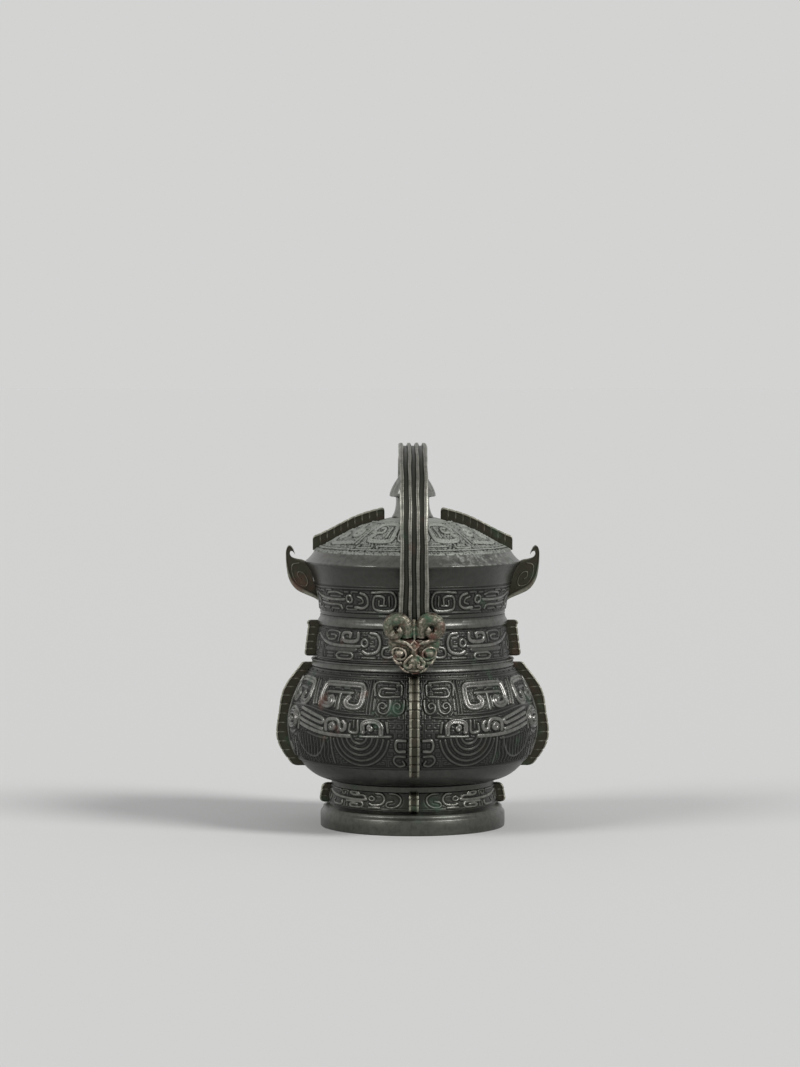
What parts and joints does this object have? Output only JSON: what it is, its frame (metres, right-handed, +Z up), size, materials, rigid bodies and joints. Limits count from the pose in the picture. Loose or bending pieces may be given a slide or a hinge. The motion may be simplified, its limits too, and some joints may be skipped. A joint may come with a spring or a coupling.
{
  "type": "lidded wine vessel",
  "caption": "Oval bronze wine vessel on a ring foot, with notched flanges, a horned domed lid with a bud knob and a swinging ribbed bail that ends in horned animal heads.",
  "frame": {"origin": "centre of the foot ring's bottom, on the surface it stands on", "axes": "+Z up; -Y towards the picture's camera, where the front animal head hangs; +X to the right in the picture"},
  "size_m": [0.2382, 0.2764, 0.3342],
  "materials": {
    "patinated_bronze": "dark olive patina with green and red-brown patches, worn on the ridges"
  },
  "bodies": {
    "vessel": {"vessel_wall": "patinated_bronze", "foot_ring": "patinated_bronze", "belly_flange_left": "patinated_bronze", "belly_flange_right": "patinated_bronze", "belly_flange_front": "patinated_bronze", "belly_flange_back": "patinated_bronze", "neck_flange_left": "patinated_bronze", "neck_flange_right": "patinated_bronze", "foot_flange_left": "patinated_bronze", "foot_flange_right": "patinated_bronze", "foot_flange_front": "patinated_bronze", "foot_flange_back": "patinated_bronze", "lug_front": "patinated_bronze", "lug_back": "patinated_bronze"},
    "lid": {"lid_shell": "patinated_bronze", "lid_knob": "patinated_bronze", "lid_flange_left": "patinated_bronze", "lid_flange_right": "patinated_bronze", "lid_flange_front": "patinated_bronze", "lid_flange_back": "patinated_bronze", "lid_horn_left": "patinated_bronze", "lid_horn_right": "patinated_bronze"},
    "bail": {"bail_strap": "patinated_bronze", "bail_head_front": "patinated_bronze", "bail_head_back": "patinated_bronze", "bail_loop_front": "patinated_bronze", "bail_loop_back": "patinated_bronze"}
  },
  "joints": [
    {"name": "bail_swing", "type": "hinge", "parent": "vessel", "child": "bail", "pos_m": [0, 0, 0.1653], "axis": [0, 1, 0], "range_deg": [-58, 58]},
    {"name": "lid_lift", "type": "slide", "parent": "vessel", "child": "lid", "axis": [0, 0, 1], "range_m": [0, 0.013]}
  ]
}
